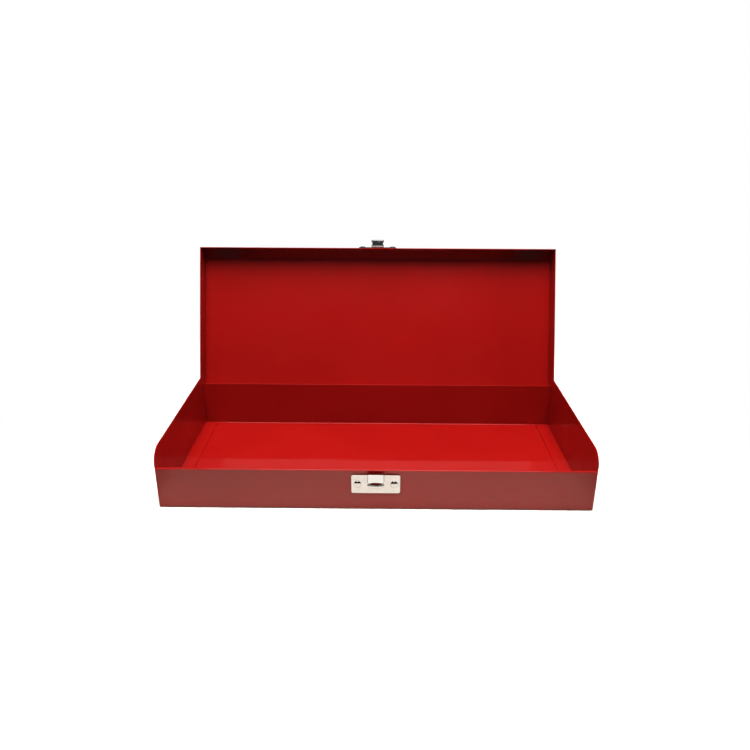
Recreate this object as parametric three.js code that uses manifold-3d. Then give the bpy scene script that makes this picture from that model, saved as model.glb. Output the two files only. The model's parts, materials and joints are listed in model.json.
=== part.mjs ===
// Shallow steel tool box with a hinged lid and a snap catch, in millimetres, +Z up.
// The origin is at the middle of the box's underside: +X is its width and -Y is its front.
import * as THREE from "three";
import { mergeVertices } from "three/addons/utils/BufferGeometryUtils.js";
import Module from "manifold-3d";

const wasm = await Module();
wasm.setup();

// ---- driving dimensions ----
const WIDTH = 420; // box, over its end panels
const DEPTH = 163; // box, over its front and back walls
const SHEET = 0.8; // thickness of the painted sheet
const BEND = 1.5; // middle radius of a bend in the painted sheet
const GAP = 0.3; // between pieces that touch
const FRONT_HEIGHT = 44.3;
const BACK_HEIGHT = 53.2;
const END_HEIGHT = 62.8;
const END_FRONT_RADIUS = 14.5; // of the end panels' top corners
const END_REAR_RADIUS = 8.6;
const FLANGE = 15; // foot of each end panel, welded to the floor
const HEM = 5.5; // turned in along the top of the front wall
const HEM_SLOT = 1.2;

const LID_CLEARANCE = 0.3; // between the lid's walls and the box
const LID_OVER_END = 1; // between the lid and the top of the end panels
const LID_WALL = 22.4; // height of the lid's walls
const BEVEL_DEPTH = 11.2; // sloping strip along the lid's front edge
const BEVEL_HEIGHT = 8;
const LID_OPEN_ANGLE = 108.5; // degrees from closed, where the rear flange meets the box's hinge leaf
const LID_FLANGE_EDGE = 0.1; // from the hinge's axis up to the flange's edge, with the lid closed
const LID_CORNER = 6; // round rear corner of the lid's side walls

const HINGE_SHEET = 0.7;
const HINGE_LENGTH = 400;
const HINGE_KNUCKLES = 20;
const HINGE_PIN_RADIUS = 0.8;
const HINGE_HEIGHT = 49.4; // of the axis
const HINGE_LEAF = 12; // from the axis to the leaf's far edge

const CATCH_SHEET = 0.8;
const CATCH_WIDTH = 46.6;
const CATCH_HEIGHT = 20.3;
const CATCH_DROP = 4.7; // from the top of the front wall to the top of the catch plate
const STRAP_WIDTH = 15.5;
const STRAP_HEIGHT = 10.1;
const STRAP_ARCH = 1.4; // rise of its lower edge in the middle
const STRAP_DROP = 3; // from the top of the front wall to the top of the strap
const STRAP_RISE = 2.2;
const SLOT_HEIGHT = 3; // opening in the plate under the strap, down to the bottom of its curved edge
const CATCH_RIVET_SPREAD = 17.5;
const CATCH_RIVET_DROP = 10.4; // from the top of the catch plate

const BASE_WIDTH = 44;
const BASE_HEIGHT = 11.2;
const BASE_RAISE = 1.1; // from the lid's lower edge to the base plate's
const BASE_RIVET_SPREAD = 17.8;
const LATCH_SHEET = 0.7; // of the curls around the latch pin
const LATCH_PIN_RADIUS = 0.7;
const LATCH_PIVOT_RAISE = 1.9; // from the lid's lower edge to the latch pin
const TONGUE_WIDTH = 14.8;
const TONGUE_WAIST = 12.8;
const TONGUE_CURL = 3.5; // width of each of its two curls
const TONGUE_OPEN_ANGLE = 142; // degrees from hooked, where it stands with the lid open

const PIN_CLEARANCE = 0.1;
const RIVET_SHANK = 1.3;
const RIVET_HOLE = 1.6;
const RIVET_HEAD = 3.6;
const RIVET_TAIL = 2.4;

// ---- worked out from them ----
const halfWidth = WIDTH / 2;
const halfDepth = DEPTH / 2;
const lidInside = END_HEIGHT + LID_OVER_END;
const lidTop = lidInside + SHEET;
const lidBottom = lidTop - LID_WALL;
const lidFront = -halfDepth - LID_CLEARANCE - SHEET; // its outer face
const lidSide = halfWidth + LID_CLEARANCE + SHEET;
const hingeInner = HINGE_PIN_RADIUS + PIN_CLEARANCE;
const hingeOuter = hingeInner + HINGE_SHEET;
const hingeY = halfDepth + GAP + hingeOuter;
const hingeZ = HINGE_HEIGHT;
const lidRear = hingeY + hingeOuter + GAP + SHEET; // outer face of the rear flange
const catchTop = FRONT_HEIGHT - CATCH_DROP;
const strapTop = FRONT_HEIGHT - STRAP_DROP;
const strapFoot = strapTop - STRAP_HEIGHT;
const catchFace = -halfDepth - GAP - CATCH_SHEET; // outer face of the catch plate
const baseBack = lidFront - GAP; // inner face of the latch's base plate
const baseFace = baseBack - CATCH_SHEET;
const latchInner = LATCH_PIN_RADIUS + PIN_CLEARANCE;
const latchOuter = latchInner + LATCH_SHEET;
const latchY = baseBack - latchOuter;
const latchZ = lidBottom + LATCH_PIVOT_RAISE;

// ---- finishes ----
const redPaint = () =>
  new THREE.MeshStandardMaterial({ color: 0x8f0f0d, roughness: 0.22, metalness: 0 });
const nickel = () => new THREE.MeshStandardMaterial({ color: 0xd8d3ca, roughness: 0.2, metalness: 1 });
const zinc = () => new THREE.MeshStandardMaterial({ color: 0xa9aaa8, roughness: 0.35, metalness: 1 });

// ---- solids ----
const bare = (geometry) => {
  geometry.deleteAttribute("normal");
  geometry.deleteAttribute("uv");
  return geometry;
};

const solid = (geometry) => {
  const merged = mergeVertices(bare(geometry), 1e-4);
  return new wasm.Manifold(
    new wasm.Mesh({
      numProp: 3,
      vertProperties: new Float32Array(merged.attributes.position.array),
      triVerts: new Uint32Array(merged.index.array),
    }),
  );
};

const joined = (pieces) => pieces.reduce((whole, piece) => whole.add(piece));
const cut = (whole, tools) => tools.reduce((rest, tool) => rest.subtract(tool), whole);

const piece = (name, manifold, material) => {
  const { vertProperties, triVerts } = manifold.getMesh();
  const geometry = new THREE.BufferGeometry();
  geometry.setAttribute("position", new THREE.BufferAttribute(vertProperties, 3));
  geometry.setIndex(new THREE.BufferAttribute(triVerts, 1));
  geometry.computeVertexNormals();
  const mesh = new THREE.Mesh(geometry, material);
  mesh.name = name;
  return mesh;
};

// A closed outline through points [a, b, radius], each corner rounded by its own radius.
const outline = (points) => {
  const shape = new THREE.Shape();
  points.forEach(([a, b, radius = 0], i) => {
    const corner = new THREE.Vector2(a, b);
    const before = points.at(i - 1);
    const after = points[(i + 1) % points.length];
    const back = new THREE.Vector2(before[0], before[1]).sub(corner).normalize();
    const on = new THREE.Vector2(after[0], after[1]).sub(corner).normalize();
    if (!radius) {
      if (i) shape.lineTo(a, b);
      else shape.moveTo(a, b);
      return;
    }
    const half = Math.acos(THREE.MathUtils.clamp(back.dot(on), -1, 1)) / 2;
    const run = radius / Math.tan(half);
    const start = corner.clone().addScaledVector(back, run);
    const end = corner.clone().addScaledVector(on, run);
    const middle = back.clone().add(on).normalize().multiplyScalar(radius / Math.sin(half)).add(corner);
    if (i) shape.lineTo(start.x, start.y);
    else shape.moveTo(start.x, start.y);
    const from = Math.atan2(start.y - middle.y, start.x - middle.x);
    const to = Math.atan2(end.y - middle.y, end.x - middle.x);
    shape.absarc(middle.x, middle.y, radius, from, to, back.cross(on) > 0);
  });
  shape.closePath();
  return shape;
};

// The points at a distance to the right of an open line of points, mitred at its corners.
const beside = (line, distance) =>
  line.map((point, i) => {
    const here = new THREE.Vector2(...point);
    const runs = [];
    if (i > 0) runs.push(here.clone().sub(new THREE.Vector2(...line[i - 1])).normalize());
    if (i < line.length - 1) runs.push(new THREE.Vector2(...line[i + 1]).sub(here).normalize());
    const normals = runs.map((run) => new THREE.Vector2(run.y, -run.x));
    const mitre = normals.reduce((sum, n) => sum.add(n), new THREE.Vector2()).normalize();
    here.addScaledVector(mitre, distance / mitre.dot(normals[0]));
    return [here.x, here.y];
  });

// The section of a sheet whose middle follows a line of points with one bend radius.
const sheetSection = (line, thickness, bend) => {
  const turn = (i) => {
    if (i === 0 || i === line.length - 1) return 0;
    const [a, b, c] = [line[i - 1], line[i], line[i + 1]];
    return Math.sign((b[0] - a[0]) * (c[1] - b[1]) - (b[1] - a[1]) * (c[0] - b[0]));
  };
  const side = (distance) =>
    beside(line, distance).map(([a, b], i) => [a, b, turn(i) ? bend + turn(i) * distance : 0]);
  return outline([...side(thickness / 2), ...side(-thickness / 2).reverse()]);
};

const SEGMENTS = { curveSegments: 5, bevelEnabled: false };
const axes = {
  x: new THREE.Matrix4().makeBasis(
    new THREE.Vector3(0, 1, 0),
    new THREE.Vector3(0, 0, 1),
    new THREE.Vector3(1, 0, 0),
  ),
  y: new THREE.Matrix4().makeBasis(
    new THREE.Vector3(-1, 0, 0),
    new THREE.Vector3(0, 0, 1),
    new THREE.Vector3(0, 1, 0),
  ),
  z: new THREE.Matrix4(),
};

// A shape drawn in the plane across an axis, extruded along it: (y, z) along x, (-x, z) along y,
// (x, y) along z.
const prism = (axis, shape, from, to, detail = SEGMENTS.curveSegments) => {
  const settings = { ...SEGMENTS, curveSegments: detail, depth: to - from };
  const geometry = new THREE.ExtrudeGeometry(shape, settings);
  geometry.translate(0, 0, from);
  return solid(geometry.applyMatrix4(axes[axis]));
};

const block = (low, high) => {
  const size = high.map((value, i) => value - low[i]);
  const geometry = new THREE.BoxGeometry(...size);
  geometry.translate(...low.map((value, i) => value + size[i] / 2));
  return solid(geometry);
};

const rodX = (radius, from, to, y, z, sides = 24) => {
  const geometry = new THREE.CylinderGeometry(radius, radius, to - from, sides);
  geometry.rotateZ(Math.PI / 2).translate((from + to) / 2, y, z);
  return solid(geometry);
};

const rodY = (radius, from, to, x, z, sides = 24) => {
  const geometry = new THREE.CylinderGeometry(radius, radius, to - from, sides);
  geometry.translate(x, (from + to) / 2, z);
  return solid(geometry);
};

const ringX = (inner, outer, from, to, y, z) =>
  rodX(outer, from, to, y, z).subtract(rodX(inner, from - 1, to + 1, y, z));

// A rivet along Y: a domed head in front of `front`, a shank, and a flat tail behind `back`.
const rivet = (x, z, front, back) => {
  const headHeight = 1.3;
  const tailHeight = 0.8;
  const dome = (RIVET_HEAD ** 2 + headHeight ** 2) / (2 * headHeight); // radius of the head's sphere
  const steps = 6;
  const cap = Array.from({ length: steps + 1 }, (_, i) => {
    const angle = (i / steps) * Math.asin(RIVET_HEAD / dome);
    return new THREE.Vector2(dome * Math.sin(angle), front - headHeight + dome * (1 - Math.cos(angle)));
  });
  cap[0].x = 0;
  const profile = [
    ...cap,
    new THREE.Vector2(RIVET_SHANK, front),
    new THREE.Vector2(RIVET_SHANK, back),
    new THREE.Vector2(RIVET_TAIL, back),
    new THREE.Vector2(RIVET_TAIL * 0.8, back + tailHeight),
    new THREE.Vector2(0, back + tailHeight),
  ];
  return solid(new THREE.LatheGeometry(profile, 24).translate(x, 0, z));
};

const rivetHole = (x, z, from, to) => rodY(RIVET_HOLE, from, to, x, z, 20);

// ---- the box ----
const catchRivetZ = catchTop - CATCH_RIVET_DROP;

const boxWrapper = () => {
  const middle = halfDepth - SHEET / 2;
  const hemSpacing = SHEET + HEM_SLOT;
  const line = [
    [middle, BACK_HEIGHT],
    [middle, SHEET / 2],
    [-middle, SHEET / 2],
    [-middle, FRONT_HEIGHT - SHEET / 2],
    [-middle + hemSpacing, FRONT_HEIGHT - SHEET / 2],
    [-middle + hemSpacing, FRONT_HEIGHT - HEM],
  ];
  // The hem's bends are tight, so its top is drawn as its own half circle.
  const walls = sheetSection(line.slice(0, 4), SHEET, BEND);
  const crown = sheetSection(line.slice(3), SHEET, hemSpacing / 2 - 0.01);
  const wrapper = prism("x", walls, -halfWidth, halfWidth);
  const turned = prism("x", crown, -halfWidth, halfWidth);
  const lip = outline([
    [-halfDepth, FRONT_HEIGHT - 2 * SHEET],
    [-halfDepth + 2 * SHEET + HEM_SLOT, FRONT_HEIGHT - 2 * SHEET],
    [-halfDepth + 2 * SHEET + HEM_SLOT, FRONT_HEIGHT, SHEET + HEM_SLOT / 2 - 0.01],
    [-halfDepth, FRONT_HEIGHT, SHEET + HEM_SLOT / 2 - 0.01],
  ]);
  const round = prism("x", lip, -halfWidth, halfWidth);
  const above = block(
    [-halfWidth - 1, -halfDepth - 1, FRONT_HEIGHT - SHEET],
    [halfWidth + 1, -halfDepth + 4, 99],
  );
  const holes = [-1, 1].map((side) =>
    rivetHole(side * CATCH_RIVET_SPREAD, catchRivetZ, -halfDepth - 1, -halfDepth + SHEET + 1),
  );
  return cut(joined([wrapper.subtract(above), turned.subtract(above), round]), holes);
};

const endPanel = (side) => {
  const middle = halfWidth - SHEET / 2;
  const foot = SHEET + GAP;
  const section = sheetSection(
    [
      [-side * middle, END_HEIGHT],
      [-side * middle, foot + SHEET / 2],
      [-side * (halfWidth - FLANGE), foot + SHEET / 2],
    ],
    SHEET,
    BEND,
  );
  const inFront = -halfDepth + SHEET + GAP;
  const behindHem = -halfDepth + 2 * SHEET + HEM_SLOT + GAP;
  const trim = outline([
    [inFront + 1.4, foot - 1],
    [-inFront - 1.4, foot - 1],
    [-inFront - 1.4, foot],
    [-inFront, foot + 1.4],
    [-inFront, BACK_HEIGHT + GAP],
    [halfDepth, BACK_HEIGHT + GAP],
    [halfDepth, END_HEIGHT, END_REAR_RADIUS],
    [-halfDepth, END_HEIGHT, END_FRONT_RADIUS],
    [-halfDepth, FRONT_HEIGHT + GAP],
    [behindHem, FRONT_HEIGHT + GAP],
    [behindHem, FRONT_HEIGHT - HEM - GAP],
    [inFront, FRONT_HEIGHT - HEM - GAP],
    [inFront, foot + 1.4],
    [inFront + 1.4, foot],
  ]);
  const sheet = prism("y", section, -halfDepth, halfDepth);
  return sheet.intersect(prism("x", trim, -halfWidth - 1, halfWidth + 1, 12));
};

// ---- the piano hinge ----
const knuckleLength = HINGE_LENGTH / HINGE_KNUCKLES;
const knuckles = (first) =>
  Array.from({ length: HINGE_KNUCKLES / 2 }, (_, i) => {
    const from = -HINGE_LENGTH / 2 + (2 * i + first) * knuckleLength;
    return [from + GAP / 2, from + knuckleLength - GAP / 2];
  });

// One leaf, drawn closed: every second knuckle is its own. The box's leaf runs down (-1) from the front of
// its knuckles and the lid's leaf runs up (+1) from the rear of its own.
const hingeLeaf = (first, way) => {
  const face = way < 0 ? hingeY - hingeOuter : hingeY + hingeOuter - HINGE_SHEET;
  const near = hingeOuter + GAP;
  const span = (a, b) => [Math.min(a, b), Math.max(a, b)];
  const slab = (from, to, z0, z1) => {
    const [low, high] = span(hingeZ + way * z0, hingeZ + way * z1);
    return block([from, face, low], [to, face + HINGE_SHEET, high]);
  };
  const curls = knuckles(first).flatMap(([from, to]) => [
    ringX(hingeInner, hingeOuter, from, to, hingeY, hingeZ),
    slab(from, to, 0.5, near + 0.5).subtract(rodX(hingeInner, from - 1, to + 1, hingeY, hingeZ)),
  ]);
  const end = HINGE_LENGTH / 2 - GAP / 2;
  return joined([slab(-end, end, near, HINGE_LEAF), ...curls]);
};

// ---- the catch on the box ----
const catchPlate = () => {
  const [bottom, half] = [catchTop - CATCH_HEIGHT, CATCH_WIDTH / 2];
  const plate = prism(
    "y",
    outline([
      [-half, bottom, 2],
      [half, bottom, 2],
      [half, catchTop, 2],
      [-half, catchTop, 2],
    ]),
    catchFace,
    catchFace + CATCH_SHEET,
  );
  const reach = STRAP_WIDTH / 2;
  // A curve across the strap, from its ends at one height to its middle `rise` higher.
  const curve = (height, rise) =>
    Array.from({ length: 9 }, (_, i) => {
      const across = i / 4 - 1;
      return [across * reach, height + rise * (1 - across ** 2)];
    });
  const through = [catchFace - STRAP_RISE - 1, catchFace + CATCH_SHEET + 1];
  const top = [
    [reach, strapTop + 1],
    [-reach, strapTop + 1],
  ];
  const slotFoot = curve(strapFoot - 0.6 * SLOT_HEIGHT, -0.4 * SLOT_HEIGHT);
  const window = prism("y", outline([...slotFoot, ...top]), ...through);
  const foot = [
    [reach, strapFoot - 1],
    [-reach, strapFoot - 1],
  ];
  const strapEdge = curve(strapFoot, STRAP_ARCH).reverse();
  const arch = prism("y", outline([...strapEdge, ...foot.reverse()]), ...through);
  const level = catchFace + CATCH_SHEET / 2;
  const leg = reach - CATCH_SHEET / 2;
  const strap = sheetSection(
    [
      [-reach - 1.4, level],
      [-leg - 0.5, level],
      [-leg + 0.3, level - STRAP_RISE],
      [leg - 0.3, level - STRAP_RISE],
      [leg + 0.5, level],
      [reach + 1.4, level],
    ],
    CATCH_SHEET,
    0.5,
  );
  const holes = [-1, 1].map((side) =>
    rivetHole(side * CATCH_RIVET_SPREAD, catchRivetZ, catchFace - 1, catchFace + CATCH_SHEET + 1),
  );
  // The strap stands above the plate only at its front: its sides slope up from the plate's top edge.
  const slope = prism(
    "x",
    outline([
      [catchFace + CATCH_SHEET + 1, catchTop - 0.05],
      [catchFace - 0.1, catchTop - 0.05],
      [catchFace - STRAP_RISE + CATCH_SHEET + 0.1, strapTop],
      [catchFace - STRAP_RISE + CATCH_SHEET + 0.1, strapTop + 1],
      [catchFace + CATCH_SHEET + 1, strapTop + 1],
    ]),
    -reach - 3,
    reach + 3,
  );
  const raised = prism("z", strap, strapFoot, strapTop).subtract(arch).subtract(slope);
  return cut(joined([plate.subtract(window), raised]), holes);
};

// ---- the lid, drawn closed ----
const baseRivetZ = lidBottom + BASE_RAISE + BASE_HEIGHT / 2;

const lidShell = () => {
  // The lid is one pan: the outside of it, less the inside, less the gap under the rear flange.
  const outside = [
    [lidRear, lidBottom],
    [lidRear, lidTop],
    [lidFront + BEVEL_DEPTH, lidTop],
    [lidFront, lidTop - BEVEL_HEIGHT],
    [lidFront, lidBottom],
  ];
  const inside = beside(outside, -SHEET);
  const rounded = (points, radius, corner, below) =>
    points.map(([y, z], i) => {
      const foot = i === 0 || i === points.length - 1;
      return foot ? [y, z - below, i === 0 ? corner : 0] : [y, z, radius];
    });
  const inner = lidSide - SHEET;
  const outer = prism("x", outline(rounded(outside, BEND + SHEET / 2, LID_CORNER, 0)), -lidSide, lidSide);
  const hollow = prism("x", outline(rounded(inside, BEND - SHEET / 2, 0, 3)), -inner, inner);
  const gap = block(
    [-inner, lidRear - SHEET - 1, lidBottom - 1],
    [inner, lidRear + 1, hingeZ + LID_FLANGE_EDGE],
  );
  const past = 0.05; // keeps the rounding clear of the flat faces it meets
  const edges = outline([
    [-lidSide - past, lidBottom - 1],
    [lidSide + past, lidBottom - 1],
    [lidSide + past, lidTop + past, BEND + SHEET / 2],
    [-lidSide - past, lidTop + past, BEND + SHEET / 2],
  ]);
  const holes = [-1, 1].map((side) =>
    rivetHole(side * BASE_RIVET_SPREAD, baseRivetZ, lidFront - 1, lidFront + SHEET + 1),
  );
  return cut(outer.intersect(prism("y", edges, lidFront - 1, lidRear + 1)), [hollow, gap, ...holes]);
};

const latchBase = () => {
  const [low, half] = [lidBottom + BASE_RAISE, BASE_WIDTH / 2];
  const plate = prism(
    "y",
    outline([
      [-half, low, 2],
      [half, low, 2],
      [half, low + BASE_HEIGHT, 2],
      [-half, low + BASE_HEIGHT, 2],
    ]),
    baseFace,
    baseBack,
  );
  const inner = TONGUE_WIDTH / 2 - TONGUE_CURL - GAP; // half the width of the plate's own curl
  const notch = TONGUE_WIDTH / 2 + 0.5;
  const notches = [-1, 1].map((side) => {
    const [from, to] = [side * inner, side * notch].sort((a, b) => a - b);
    return block([from, baseFace - 1, low - 1], [to, baseBack + 1, latchZ + latchOuter + GAP]);
  });
  const under = block([-inner, baseFace - 1, low - 1], [inner, baseBack + 1, latchZ]);
  const bore = rodX(latchInner, -inner - 1, inner + 1, latchY, latchZ);
  const curl = ringX(latchInner, latchOuter, -inner, inner, latchY, latchZ);
  const holes = [-1, 1].map((side) =>
    rivetHole(side * BASE_RIVET_SPREAD, baseRivetZ, baseFace - 1, baseBack + 1),
  );
  return cut(plate, [...notches, under, bore, ...holes]).add(curl);
};

// The tongue, drawn hooked: down in front of the strap, in under it, and out as a finger lip.
const latchTongue = () => {
  const half = TONGUE_WIDTH / 2;
  const waist = TONGUE_WAIST / 2;
  const middle = latchY - latchOuter + CATCH_SHEET / 2;
  const hook = strapFoot;
  const line = [
    [middle, latchZ],
    [middle, hook + 0.2],
    [middle + 1.4, hook - 1.3],
    [middle - 0.9, hook - 3],
    [middle - 2.9, hook - 3.4],
  ];
  const tip = line.at(-1)[1] - 1;
  const sheet = prism("x", sheetSection(line, CATCH_SHEET, 0.6), -half, half);
  const face = outline([
    [-half, tip],
    [half, tip],
    [half, hook - 2.4, 1.5],
    [waist, hook + 0.5, 1.5],
    [waist, hook + 6, 1.5],
    [half, latchZ - 3, 1.5],
    [half, latchZ + 3],
    [-half, latchZ + 3],
    [-half, latchZ - 3, 1.5],
    [-waist, hook + 6, 1.5],
    [-waist, hook + 0.5, 1.5],
    [-half, hook - 2.4, 1.5],
  ]);
  const trimmed = sheet.intersect(prism("y", face, middle - 8, middle + 8));
  const inner = half - TONGUE_CURL;
  const room = block([-inner, middle - 2, latchZ - latchOuter - GAP], [inner, middle + 5, latchZ + 5]);
  const bore = rodX(latchInner, -half - 1, half + 1, latchY, latchZ);
  const curls = [-1, 1].map((side) => {
    const [from, to] = [side * inner, side * half].sort((a, b) => a - b);
    return ringX(latchInner, latchOuter, from, to, latchY, latchZ);
  });
  return joined([cut(trimmed, [room, bore]), ...curls]);
};

// ---- the assembly ----
const sides = { left: -1, right: 1 };
const toolBox = new THREE.Group();

toolBox.add(piece("box_wrapper", boxWrapper(), redPaint()));
for (const [name, side] of Object.entries(sides)) {
  toolBox.add(piece(`end_panel_${name}`, endPanel(side), redPaint()));
}
toolBox.add(piece("hinge_leaf_box", hingeLeaf(0, -1), redPaint()));
toolBox.add(
  piece("hinge_pin", rodX(HINGE_PIN_RADIUS, -HINGE_LENGTH / 2, HINGE_LENGTH / 2, hingeY, hingeZ), zinc()),
);
toolBox.add(piece("catch_plate", catchPlate(), nickel()));
for (const [name, side] of Object.entries(sides)) {
  const made = rivet(side * CATCH_RIVET_SPREAD, catchRivetZ, catchFace - GAP, -halfDepth + SHEET + GAP);
  toolBox.add(piece(`catch_rivet_${name}`, made, nickel()));
}

// The lid turns about the hinge pin, and the tongue about the latch pin.
const pivotGroup = (y, z, degrees) => {
  const turned = new THREE.Group();
  turned.position.set(0, y, z);
  turned.rotation.x = THREE.MathUtils.degToRad(degrees);
  const contents = new THREE.Group();
  contents.position.set(0, -y, -z);
  turned.add(contents);
  return { turned, contents };
};

const lid = pivotGroup(hingeY, hingeZ, -LID_OPEN_ANGLE);
lid.contents.add(piece("lid_shell", lidShell(), redPaint()));
lid.contents.add(piece("hinge_leaf_lid", hingeLeaf(1, 1), redPaint()));
lid.contents.add(piece("latch_base_plate", latchBase(), nickel()));
for (const [name, side] of Object.entries(sides)) {
  const made = rivet(side * BASE_RIVET_SPREAD, baseRivetZ, baseFace - GAP, lidFront + SHEET + GAP);
  lid.contents.add(piece(`latch_rivet_${name}`, made, nickel()));
}
lid.contents.add(
  piece("latch_pin", rodX(LATCH_PIN_RADIUS, -TONGUE_WIDTH / 2, TONGUE_WIDTH / 2, latchY, latchZ), nickel()),
);
const tongue = pivotGroup(latchY, latchZ, -TONGUE_OPEN_ANGLE);
tongue.contents.add(piece("latch_tongue", latchTongue(), nickel()));
lid.contents.add(tongue.turned);
toolBox.add(lid.turned);

export default toolBox;
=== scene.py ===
# Looks for the steel tool box: glossy red enamel, a nickel catch and latch, soft overhead light
# on a pale table.
import json
import math

import bmesh
import bpy
from mathutils import Matrix, Vector


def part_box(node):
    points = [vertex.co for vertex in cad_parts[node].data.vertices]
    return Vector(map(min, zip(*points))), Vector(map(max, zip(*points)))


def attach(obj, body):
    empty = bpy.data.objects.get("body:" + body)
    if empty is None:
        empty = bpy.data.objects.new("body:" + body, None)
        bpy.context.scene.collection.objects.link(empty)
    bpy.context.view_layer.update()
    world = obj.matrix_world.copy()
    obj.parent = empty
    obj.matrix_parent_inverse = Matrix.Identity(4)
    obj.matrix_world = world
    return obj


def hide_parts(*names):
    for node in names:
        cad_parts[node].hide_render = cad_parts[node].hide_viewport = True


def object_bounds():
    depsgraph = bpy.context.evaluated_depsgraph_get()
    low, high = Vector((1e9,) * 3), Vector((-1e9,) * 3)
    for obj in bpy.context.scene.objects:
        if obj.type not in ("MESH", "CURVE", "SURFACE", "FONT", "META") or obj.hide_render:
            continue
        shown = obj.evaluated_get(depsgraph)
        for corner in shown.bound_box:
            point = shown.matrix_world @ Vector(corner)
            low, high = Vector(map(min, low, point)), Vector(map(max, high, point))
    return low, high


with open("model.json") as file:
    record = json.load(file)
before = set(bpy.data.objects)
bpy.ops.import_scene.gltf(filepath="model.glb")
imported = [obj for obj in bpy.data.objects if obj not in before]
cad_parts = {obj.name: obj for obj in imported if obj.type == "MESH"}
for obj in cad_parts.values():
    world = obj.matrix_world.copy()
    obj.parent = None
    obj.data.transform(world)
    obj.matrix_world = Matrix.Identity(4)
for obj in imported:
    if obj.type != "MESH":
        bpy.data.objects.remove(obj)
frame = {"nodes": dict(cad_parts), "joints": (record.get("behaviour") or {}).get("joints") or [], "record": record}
cad_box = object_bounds()
nodes = frame["nodes"]
record = frame["record"]
scene = bpy.context.scene
MM = 0.001


# ---- materials ----
class Nodes:
    """Short calls for building one material's node tree."""

    def __init__(self, material):
        material.use_nodes = True
        self.tree = material.node_tree
        self.tree.nodes.clear()
        self.output = self.add("ShaderNodeOutputMaterial")
        self.shader = self.add("ShaderNodeBsdfPrincipled")
        self.link(self.shader.outputs["BSDF"], self.output.inputs["Surface"])
        self.place = self.add("ShaderNodeTexCoord").outputs["Object"]

    def add(self, kind, **values):
        node = self.tree.nodes.new(kind)
        for name, value in values.items():
            setattr(node, name, value)
        return node

    def link(self, source, target):
        self.tree.links.new(source, target)

    def set(self, **values):
        for name, value in values.items():
            self.shader.inputs[name.replace("_", " ")].default_value = value

    def noise(self, scale, detail=2.0, roughness=0.5, stretch=None):
        node = self.add("ShaderNodeTexNoise")
        node.inputs["Scale"].default_value = scale
        node.inputs["Detail"].default_value = detail
        node.inputs["Roughness"].default_value = roughness
        place = self.place
        if stretch:
            mapping = self.add("ShaderNodeMapping")
            mapping.inputs["Scale"].default_value = stretch
            self.link(place, mapping.inputs["Vector"])
            place = mapping.outputs["Vector"]
        self.link(place, node.inputs["Vector"])
        return node.outputs["Fac"]

    def ramp(self, factor, *stops):
        node = self.add("ShaderNodeValToRGB")
        elements = node.color_ramp.elements
        while len(elements) < len(stops):
            elements.new(0.5)
        for element, (position, color) in zip(elements, stops):
            element.position = position
            element.color = (*color, 1) if len(color) == 3 else color
        self.link(factor, node.inputs["Fac"])
        return node.outputs["Color"]

    def spread(self, factor, low, high):
        node = self.add("ShaderNodeMapRange")
        node.inputs["From Min"].default_value = 0.3
        node.inputs["From Max"].default_value = 0.7
        node.inputs["To Min"].default_value = low
        node.inputs["To Max"].default_value = high
        self.link(factor, node.inputs["Value"])
        return node.outputs["Result"]

    def bump(self, height, depth, below=None):
        node = self.add("ShaderNodeBump")
        node.inputs["Strength"].default_value = 1.0
        node.inputs["Distance"].default_value = depth
        self.link(height, node.inputs["Height"])
        if below:
            self.link(below, node.inputs["Normal"])
        return node.outputs["Normal"]


def red_enamel():
    material = bpy.data.materials.new("red_enamel")
    n = Nodes(material)
    n.set(Coat_Weight=1.0, Coat_Roughness=0.035, Coat_IOR=1.5, IOR=1.45, Metallic=0.0)
    n.set(Specular_IOR_Level=0.25)
    patches = n.noise(9, 3)
    color = n.ramp(patches, (0.3, (0.225, 0.0052, 0.0044)), (0.7, (0.25, 0.0068, 0.0056)))
    n.link(color, n.shader.inputs["Base Color"])
    n.link(n.spread(n.noise(30, 3), 0.34, 0.44), n.shader.inputs["Roughness"])
    waves = n.bump(n.noise(14, 1), 0.00035)
    peel = n.bump(n.noise(650, 2), 0.0000035, waves)
    n.link(peel, n.shader.inputs["Coat Normal"])
    n.link(waves, n.shader.inputs["Normal"])
    return material


def nickel_plate():
    material = bpy.data.materials.new("bright_nickel")
    n = Nodes(material)
    n.set(Metallic=1.0)
    # Painted highlight: the raised strap, whose front stands two millimetres before the plate's face, is tinted
    # lighter than the plate to stand for the light it catches.
    forward = n.add("ShaderNodeSeparateXYZ")
    n.link(n.place, forward.inputs[0])
    highlight_mask = n.add("ShaderNodeMapRange")
    highlight_mask.inputs["From Min"].default_value = PLATE_FACE - PLATE_TONE_UP_TO
    highlight_mask.inputs["From Max"].default_value = PLATE_FACE - STRAP_HIGHLIGHT_FROM
    n.link(forward.outputs["Y"], highlight_mask.inputs["Value"])
    plain = n.ramp(n.noise(160, 4), (0.35, (0.53, 0.535, 0.55)), (0.7, (0.58, 0.585, 0.60)))
    painted_highlight = n.add("ShaderNodeMix", data_type="RGBA")
    n.link(highlight_mask.outputs["Result"], painted_highlight.inputs["Factor"])
    n.link(plain, painted_highlight.inputs["A"])
    # The lighter colour of the raised strap is a painted highlight, not a different finish.
    painted_highlight.inputs["B"].default_value = (0.59, 0.62, 0.66, 1)
    n.link(painted_highlight.outputs["Result"], n.shader.inputs["Base Color"])
    brushed = n.noise(900, 3, 0.6, stretch=(0.06, 1, 1))
    n.link(n.spread(brushed, 0.10, 0.2), n.shader.inputs["Roughness"])
    n.link(n.bump(brushed, 0.000004, n.bump(n.noise(120, 2), 0.00004)), n.shader.inputs["Normal"])
    return material


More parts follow.
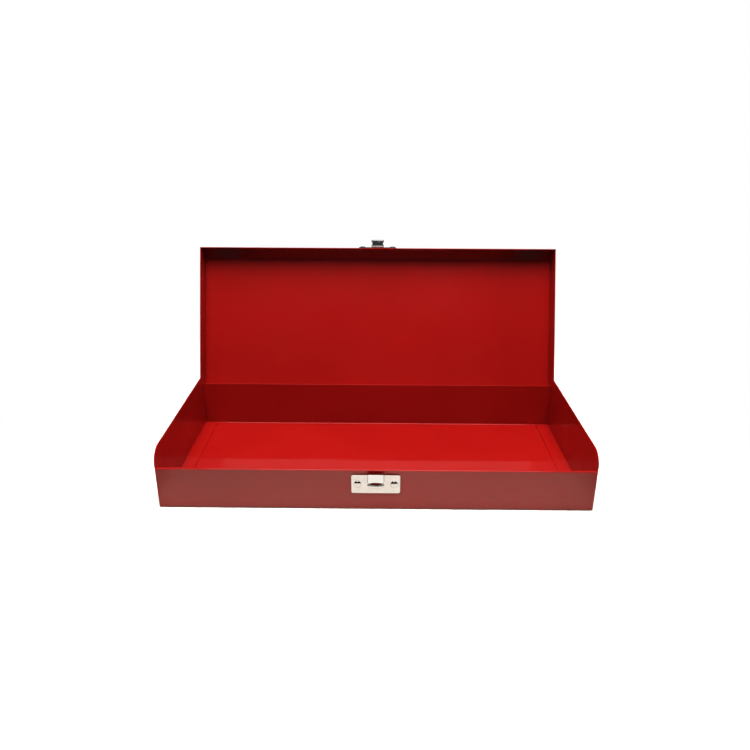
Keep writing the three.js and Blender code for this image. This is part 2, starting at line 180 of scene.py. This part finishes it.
def zinc_wire():
    material = bpy.data.materials.new("zinc_wire")
    n = Nodes(material)
    n.set(Metallic=1.0)
    n.link(
        n.ramp(n.noise(300, 3), (0.3, (0.42, 0.42, 0.41)), (0.7, (0.55, 0.55, 0.53))),
        n.shader.inputs["Base Color"],
    )
    drawn = n.noise(1500, 2, 0.6, stretch=(0.03, 1, 1))
    n.link(n.spread(drawn, 0.28, 0.42), n.shader.inputs["Roughness"])
    return material


# The CAD rivet head ends this far, in millimetres, before the face of the plate it holds.
HEAD_TOP = 1.6
# Heights above the catch plate between which the plate's own plating colour ramps into the strap's painted
# highlight.
PLATE_TONE_UP_TO, STRAP_HIGHLIGHT_FROM = 1.75 * MM, 2.1 * MM
PLATE_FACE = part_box("catch_rivet_left")[0].y + HEAD_TOP * MM
FINISHES = {"red_paint": red_enamel(), "nickel": nickel_plate(), "pin_steel": zinc_wire()}
SLOTS = {part["node"]: part["material_slot"] for part in record["subparts"]}
BODY_OF = {
    node: body for body, members in record["behaviour"]["bodies"].items() for node in members
}


# ---- pieces ----
def place_piece(mesh, name, body, slot):
    piece = bpy.data.objects.new(name, mesh)
    scene.collection.objects.link(piece)
    mesh.materials.clear()
    mesh.materials.append(FINISHES[slot])
    for polygon in mesh.polygons:
        polygon.use_smooth = True
    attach(piece, body)
    return piece


def refine(node, width, segments=2, angle=25):
    """Stands for a CAD node: the same solid with its edges rounded, so that they catch the light."""
    mesh = nodes[node].data.copy()
    bm = bmesh.new()
    bm.from_mesh(mesh)
    bmesh.ops.remove_doubles(bm, verts=bm.verts, dist=1e-6)
    bmesh.ops.dissolve_limit(
        bm, angle_limit=math.radians(0.6), verts=bm.verts, edges=bm.edges, use_dissolve_boundaries=False
    )
    bm.to_mesh(mesh)
    bm.free()
    for polygon in mesh.polygons:
        polygon.use_smooth = True
    draft = bpy.data.objects.new("draft", mesh)
    scene.collection.objects.link(draft)
    bevel = draft.modifiers.new("edges", "BEVEL")
    bevel.width = width
    bevel.segments = segments
    bevel.limit_method = "ANGLE"
    bevel.angle_limit = math.radians(angle)
    bevel.use_clamp_overlap = True
    bevel.harden_normals = True
    flat = draft.modifiers.new("flat_faces", "WEIGHTED_NORMAL")
    flat.mode = "FACE_AREA"
    flat.weight = 100
    flat.keep_sharp = True
    shape = bpy.data.meshes.new_from_object(draft.evaluated_get(bpy.context.evaluated_depsgraph_get()))
    bpy.data.objects.remove(draft)
    piece = place_piece(shape, f"{node}_finished", BODY_OF[node], SLOTS[node])
    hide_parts(node)
    return piece


for node, thing in nodes.items():
    thing.data.materials.clear()
    thing.data.materials.append(FINISHES[SLOTS[node]])

for node in ("box_wrapper", "end_panel_left", "end_panel_right", "lid_shell"):
    refine(node, 0.22 * MM)
for node in ("catch_plate", "latch_base_plate", "latch_tongue", "latch_pin"):
    refine(node, 0.15 * MM)
for node in ("hinge_leaf_box", "hinge_leaf_lid"):
    refine(node, 0.08 * MM)


def opened(joint_name):
    """Takes a point of the closed lid to where the lid's hinge holds it at rest."""
    joint = next(j for j in frame["joints"] if j["name"] == joint_name)
    at = Matrix.Translation(joint["pos_m"])
    return at @ Matrix.Rotation(-math.radians(joint["range_deg"][1]), 4, "X") @ at.inverted()


def closed_box(node, turn):
    back = turn.inverted()
    points = [back @ v.co for v in nodes[node].data.vertices]
    return [Vector(pick(p[i] for p in points) for i in range(3)) for pick in (min, max)]


# Half the section of a rivet's head: from its rim on the plate to the middle of its face, in millimetres.
RIVET_HEAD = (
    (3.55, 0), (3.6, 0.12), (3.52, 0.36), (3.25, 0.7),
    (2.8, 0.98), (2.1, 1.22), (1.2, 1.37), (0, 1.42),
)
# The clinched tail behind it: radius, and distance from the tail's end.
RIVET_TAIL = ((2.25, 0.8), (2.4, 0.6), (2.15, 0.2), (1.4, 0.02), (0, 0))
RIVET_SHANK = 1.3  # radius
RIVET_SIDES = 48


def rivet(node, turn):
    """Stands for a CAD rivet: a smooth pressed head sitting on its plate, a shank, and a clinched tail."""
    low, high = closed_box(node, turn)
    face = low.y + HEAD_TOP * MM
    x, z = (low.x + high.x) / 2, (low.z + high.z) / 2
    tail = high.y
    profile = [(r * MM, face - h * MM) for r, h in reversed(RIVET_HEAD)]
    shank = RIVET_SHANK * MM
    profile += [(shank, face), (shank, tail - RIVET_TAIL[0][1] * MM)]
    profile += [(r * MM, tail - back * MM) for r, back in RIVET_TAIL]
    bm = bmesh.new()
    rings = []
    for r, y in profile:
        if r == 0:
            rings.append([bm.verts.new((x, y, z))])
            continue
        turns = [2 * math.pi * i / RIVET_SIDES for i in range(RIVET_SIDES)]
        rings.append([bm.verts.new((x + r * math.cos(t), y, z + r * math.sin(t))) for t in turns])
    for one, other in zip(rings, rings[1:]):
        for i in range(RIVET_SIDES):
            j = (i + 1) % RIVET_SIDES
            corners = [one[i % len(one)], one[j % len(one)]]
            corners += [other[j % len(other)], other[i % len(other)]]
            bm.faces.new(list(dict.fromkeys(corners)))
    bmesh.ops.recalc_face_normals(bm, faces=bm.faces)
    bmesh.ops.transform(bm, matrix=turn, verts=bm.verts)
    mesh = bpy.data.meshes.new(node)
    bm.to_mesh(mesh)
    bm.free()
    piece = place_piece(mesh, f"{node}_finished", BODY_OF[node], SLOTS[node])
    mesh.set_sharp_from_angle(angle=math.radians(50))
    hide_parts(node)


# Section of the bead from its upper to its lower edge: share of the way down, and height in
# millimetres above the plate.
BEAD_SECTION = ((0, -0.05), (0.1, 0.5), (0.28, 0.66), (0.72, 0.66), (0.9, 0.45), (1, -0.05))
BEAD_HALF_WIDTH = 8.3 * MM
BEAD_DROP = 12.6 * MM  # from the top of the strap


def catch_bead():
    """The pressed half moon under the slot of the catch plate, standing a little proud of it."""
    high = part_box("catch_plate")[1]
    half, top = BEAD_HALF_WIDTH, high.z - BEAD_DROP
    steps = 24
    bm = bmesh.new()
    rows = []
    for u, v in BEAD_SECTION:
        row = []
        for i in range(steps + 1):
            across = 2 * i / steps - 1
            upper = top - 0.5 * MM * (1 - across**2)
            lower = top - 4.1 * MM * (1 - across**4) ** 0.6
            row.append(bm.verts.new((across * half, PLATE_FACE - v * MM, upper + (lower - upper) * u)))
        rows.append(row)
    for one, other in zip(rows, rows[1:]):
        for i in range(steps):
            bm.faces.new((one[i], one[i + 1], other[i + 1], other[i]))
    for i in range(steps):
        bm.faces.new((rows[-1][i], rows[-1][i + 1], rows[0][i + 1], rows[0][i]))
    bmesh.ops.remove_doubles(bm, verts=bm.verts, dist=1e-6)
    bmesh.ops.recalc_face_normals(bm, faces=bm.faces)
    mesh = bpy.data.meshes.new("catch_bead")
    bm.to_mesh(mesh)
    bm.free()
    place_piece(mesh, "catch_bead", "box", "nickel")


still = Matrix.Identity(4)
lid_turn = opened("lid_hinge")
for side in ("left", "right"):
    rivet(f"catch_rivet_{side}", still)
    rivet(f"latch_rivet_{side}", lid_turn)
catch_bead()

# ---- stage, light and camera ----
high = cad_box[1]
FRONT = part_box("box_wrapper")[0].y


# The pale strip of the table, in metres, and how far from the box the table shows its shadow.
STRIP_MIDDLE_Y, STRIP_HALF, STRIP_FADE = -0.135, (0.2, 0.045), 0.065
SHADOW_REACH = 0.25


def studio_table():
    """A pale table under the box, white to the camera out to the horizon.

    To every other ray it is dark, except for a pale strip before the box that lights its front.
    """
    bpy.ops.mesh.primitive_plane_add(size=60, location=(0, 0, -0.0002))
    plane = bpy.context.object
    plane.name = "table"
    material = bpy.data.materials.new("table")
    n = Nodes(material)
    n.set(Roughness=0.6, Specular_IOR_Level=0.3)

    def beyond(middle_y, half, near, far):
        """0 inside a rectangle and up to `near` outside it, rising to 1 at `far`."""
        moved = n.add("ShaderNodeVectorMath", operation="SUBTRACT")
        n.link(n.place, moved.inputs[0])
        moved.inputs[1].default_value = (0, middle_y, 0)
        apart = n.add("ShaderNodeVectorMath", operation="ABSOLUTE")
        n.link(moved.outputs["Vector"], apart.inputs[0])
        outside = n.add("ShaderNodeVectorMath", operation="SUBTRACT")
        n.link(apart.outputs["Vector"], outside.inputs[0])
        outside.inputs[1].default_value = (*half, 1)
        past = n.add("ShaderNodeVectorMath", operation="MAXIMUM")
        n.link(outside.outputs["Vector"], past.inputs[0])
        distance = n.add("ShaderNodeVectorMath", operation="LENGTH")
        n.link(past.outputs["Vector"], distance.inputs[0])
        node = n.add("ShaderNodeMapRange", interpolation_type="SMOOTHSTEP")
        node.inputs["From Min"].default_value = near
        node.inputs["From Max"].default_value = far
        n.link(distance.outputs["Value"], node.inputs["Value"])
        return node.outputs["Result"]

    camera_ray = n.add("ShaderNodeLightPath").outputs["Is Camera Ray"]
    in_front = beyond(STRIP_MIDDLE_Y, STRIP_HALF, 0, STRIP_FADE)
    color = n.add("ShaderNodeMix", data_type="RGBA")
    n.link(camera_ray, color.inputs["Factor"])
    n.link(n.ramp(in_front, (0, (0.54, 0.50, 0.45)), (1, (0.03, 0.03, 0.03))), color.inputs["A"])
    color.inputs["B"].default_value = (0.85, 0.84, 0.82, 1)
    n.link(color.outputs["Result"], n.shader.inputs["Base Color"])
    white = n.add("ShaderNodeEmission")
    white.inputs["Strength"].default_value = 1.0
    seen = n.add("ShaderNodeMath", operation="MULTIPLY")
    n.link(camera_ray, seen.inputs[0])
    n.link(beyond(0, (high.x, high.y), 0, SHADOW_REACH), seen.inputs[1])
    mix = n.add("ShaderNodeMixShader")
    n.link(seen.outputs["Value"], mix.inputs["Fac"])
    n.link(n.shader.outputs["BSDF"], mix.inputs[1])
    n.link(white.outputs["Emission"], mix.inputs[2])
    n.link(mix.outputs["Shader"], n.output.inputs["Surface"])
    plane.data.materials.append(material)


studio_table()


def softbox(name, at, toward, size, power, shape="RECTANGLE", height=None, color=(1, 1, 1)):
    light = bpy.data.lights.new(name, "AREA")
    light.shape = shape
    light.size = size
    light.size_y = height or size
    light.energy = power
    light.color = color
    lamp = bpy.data.objects.new(name, light)
    scene.collection.objects.link(lamp)
    lamp.location = at
    lamp.rotation_euler = (Vector(toward) - Vector(at)).to_track_quat("-Z", "Y").to_euler()
    return lamp


WARM = (1, 0.965, 0.925)
overhead = softbox("overhead", (0, -0.17, 0.95), (0, 0, 0), 0.7, 27, height=0.8, color=WARM)
overhead.visible_glossy = False
softbox("overhead_gloss", (0, -0.40, 1.55), (0, 0, 0), 1.18, 10.5, height=0.6, color=WARM)
rear = softbox("rear_fill", (0, 1.7, 0.4), (0, 0, 0.1), 1.4, 32, height=0.7, color=WARM)
rear.visible_glossy = False
softbox("left_strip", (-1.5, -0.5, 0.55), (0, 0, 0.1), 0.1, 0.3, height=0.5, color=WARM)
softbox("right_strip", (1.5, -0.5, 0.55), (0, 0, 0.1), 0.1, 0.3, height=0.5, color=WARM)


def studio_world():
    world = bpy.data.worlds.new("studio")
    world.use_nodes = True
    tree = world.node_tree
    tree.nodes.clear()
    link = tree.links.new
    output = tree.nodes.new("ShaderNodeOutputWorld")
    seen = tree.nodes.new("ShaderNodeBackground")
    seen.inputs["Color"].default_value = (1, 1, 1, 1)
    seen.inputs["Strength"].default_value = 1.0
    around = tree.nodes.new("ShaderNodeBackground")
    place = tree.nodes.new("ShaderNodeTexCoord").outputs["Generated"]
    split = tree.nodes.new("ShaderNodeSeparateXYZ")
    link(place, split.inputs["Vector"])
    ramp = tree.nodes.new("ShaderNodeMapRange")
    # Dim before the box and brighter behind it.
    for name, value in {"From Min": -0.2, "From Max": 0.8, "To Min": 0.015, "To Max": 0.15}.items():
        ramp.inputs[name].default_value = value
    link(split.outputs["Y"], ramp.inputs["Value"])
    link(ramp.outputs["Result"], around.inputs["Strength"])
    choose = tree.nodes.new("ShaderNodeMixShader")
    link(tree.nodes.new("ShaderNodeLightPath").outputs["Is Camera Ray"], choose.inputs["Fac"])
    link(around.outputs["Background"], choose.inputs[1])
    link(seen.outputs["Background"], choose.inputs[2])
    link(choose.outputs["Shader"], output.inputs["Surface"])
    scene.world = world


studio_world()
scene.view_settings.view_transform = "Standard"
scene.view_settings.look = "None"
scene.view_settings.gamma = 0.82

PITCH, YAW, ROLL = math.radians(19.71), 0.0062, 0.0045
camera = bpy.data.cameras.new("camera")
camera.sensor_width = 36
camera.lens = 28.48
camera.shift_y = -0.08
camera.clip_end = 60
eye = bpy.data.objects.new("camera", camera)
scene.collection.objects.link(eye)
eye.location = (0.0015, FRONT - 0.479, 0.3719)
aim = Matrix.Rotation(YAW, 3, "Z") @ Matrix.Rotation(math.pi / 2 - PITCH, 3, "X")
eye.rotation_euler = (aim @ Matrix.Rotation(ROLL, 3, "Z")).to_euler()
scene.camera = eye
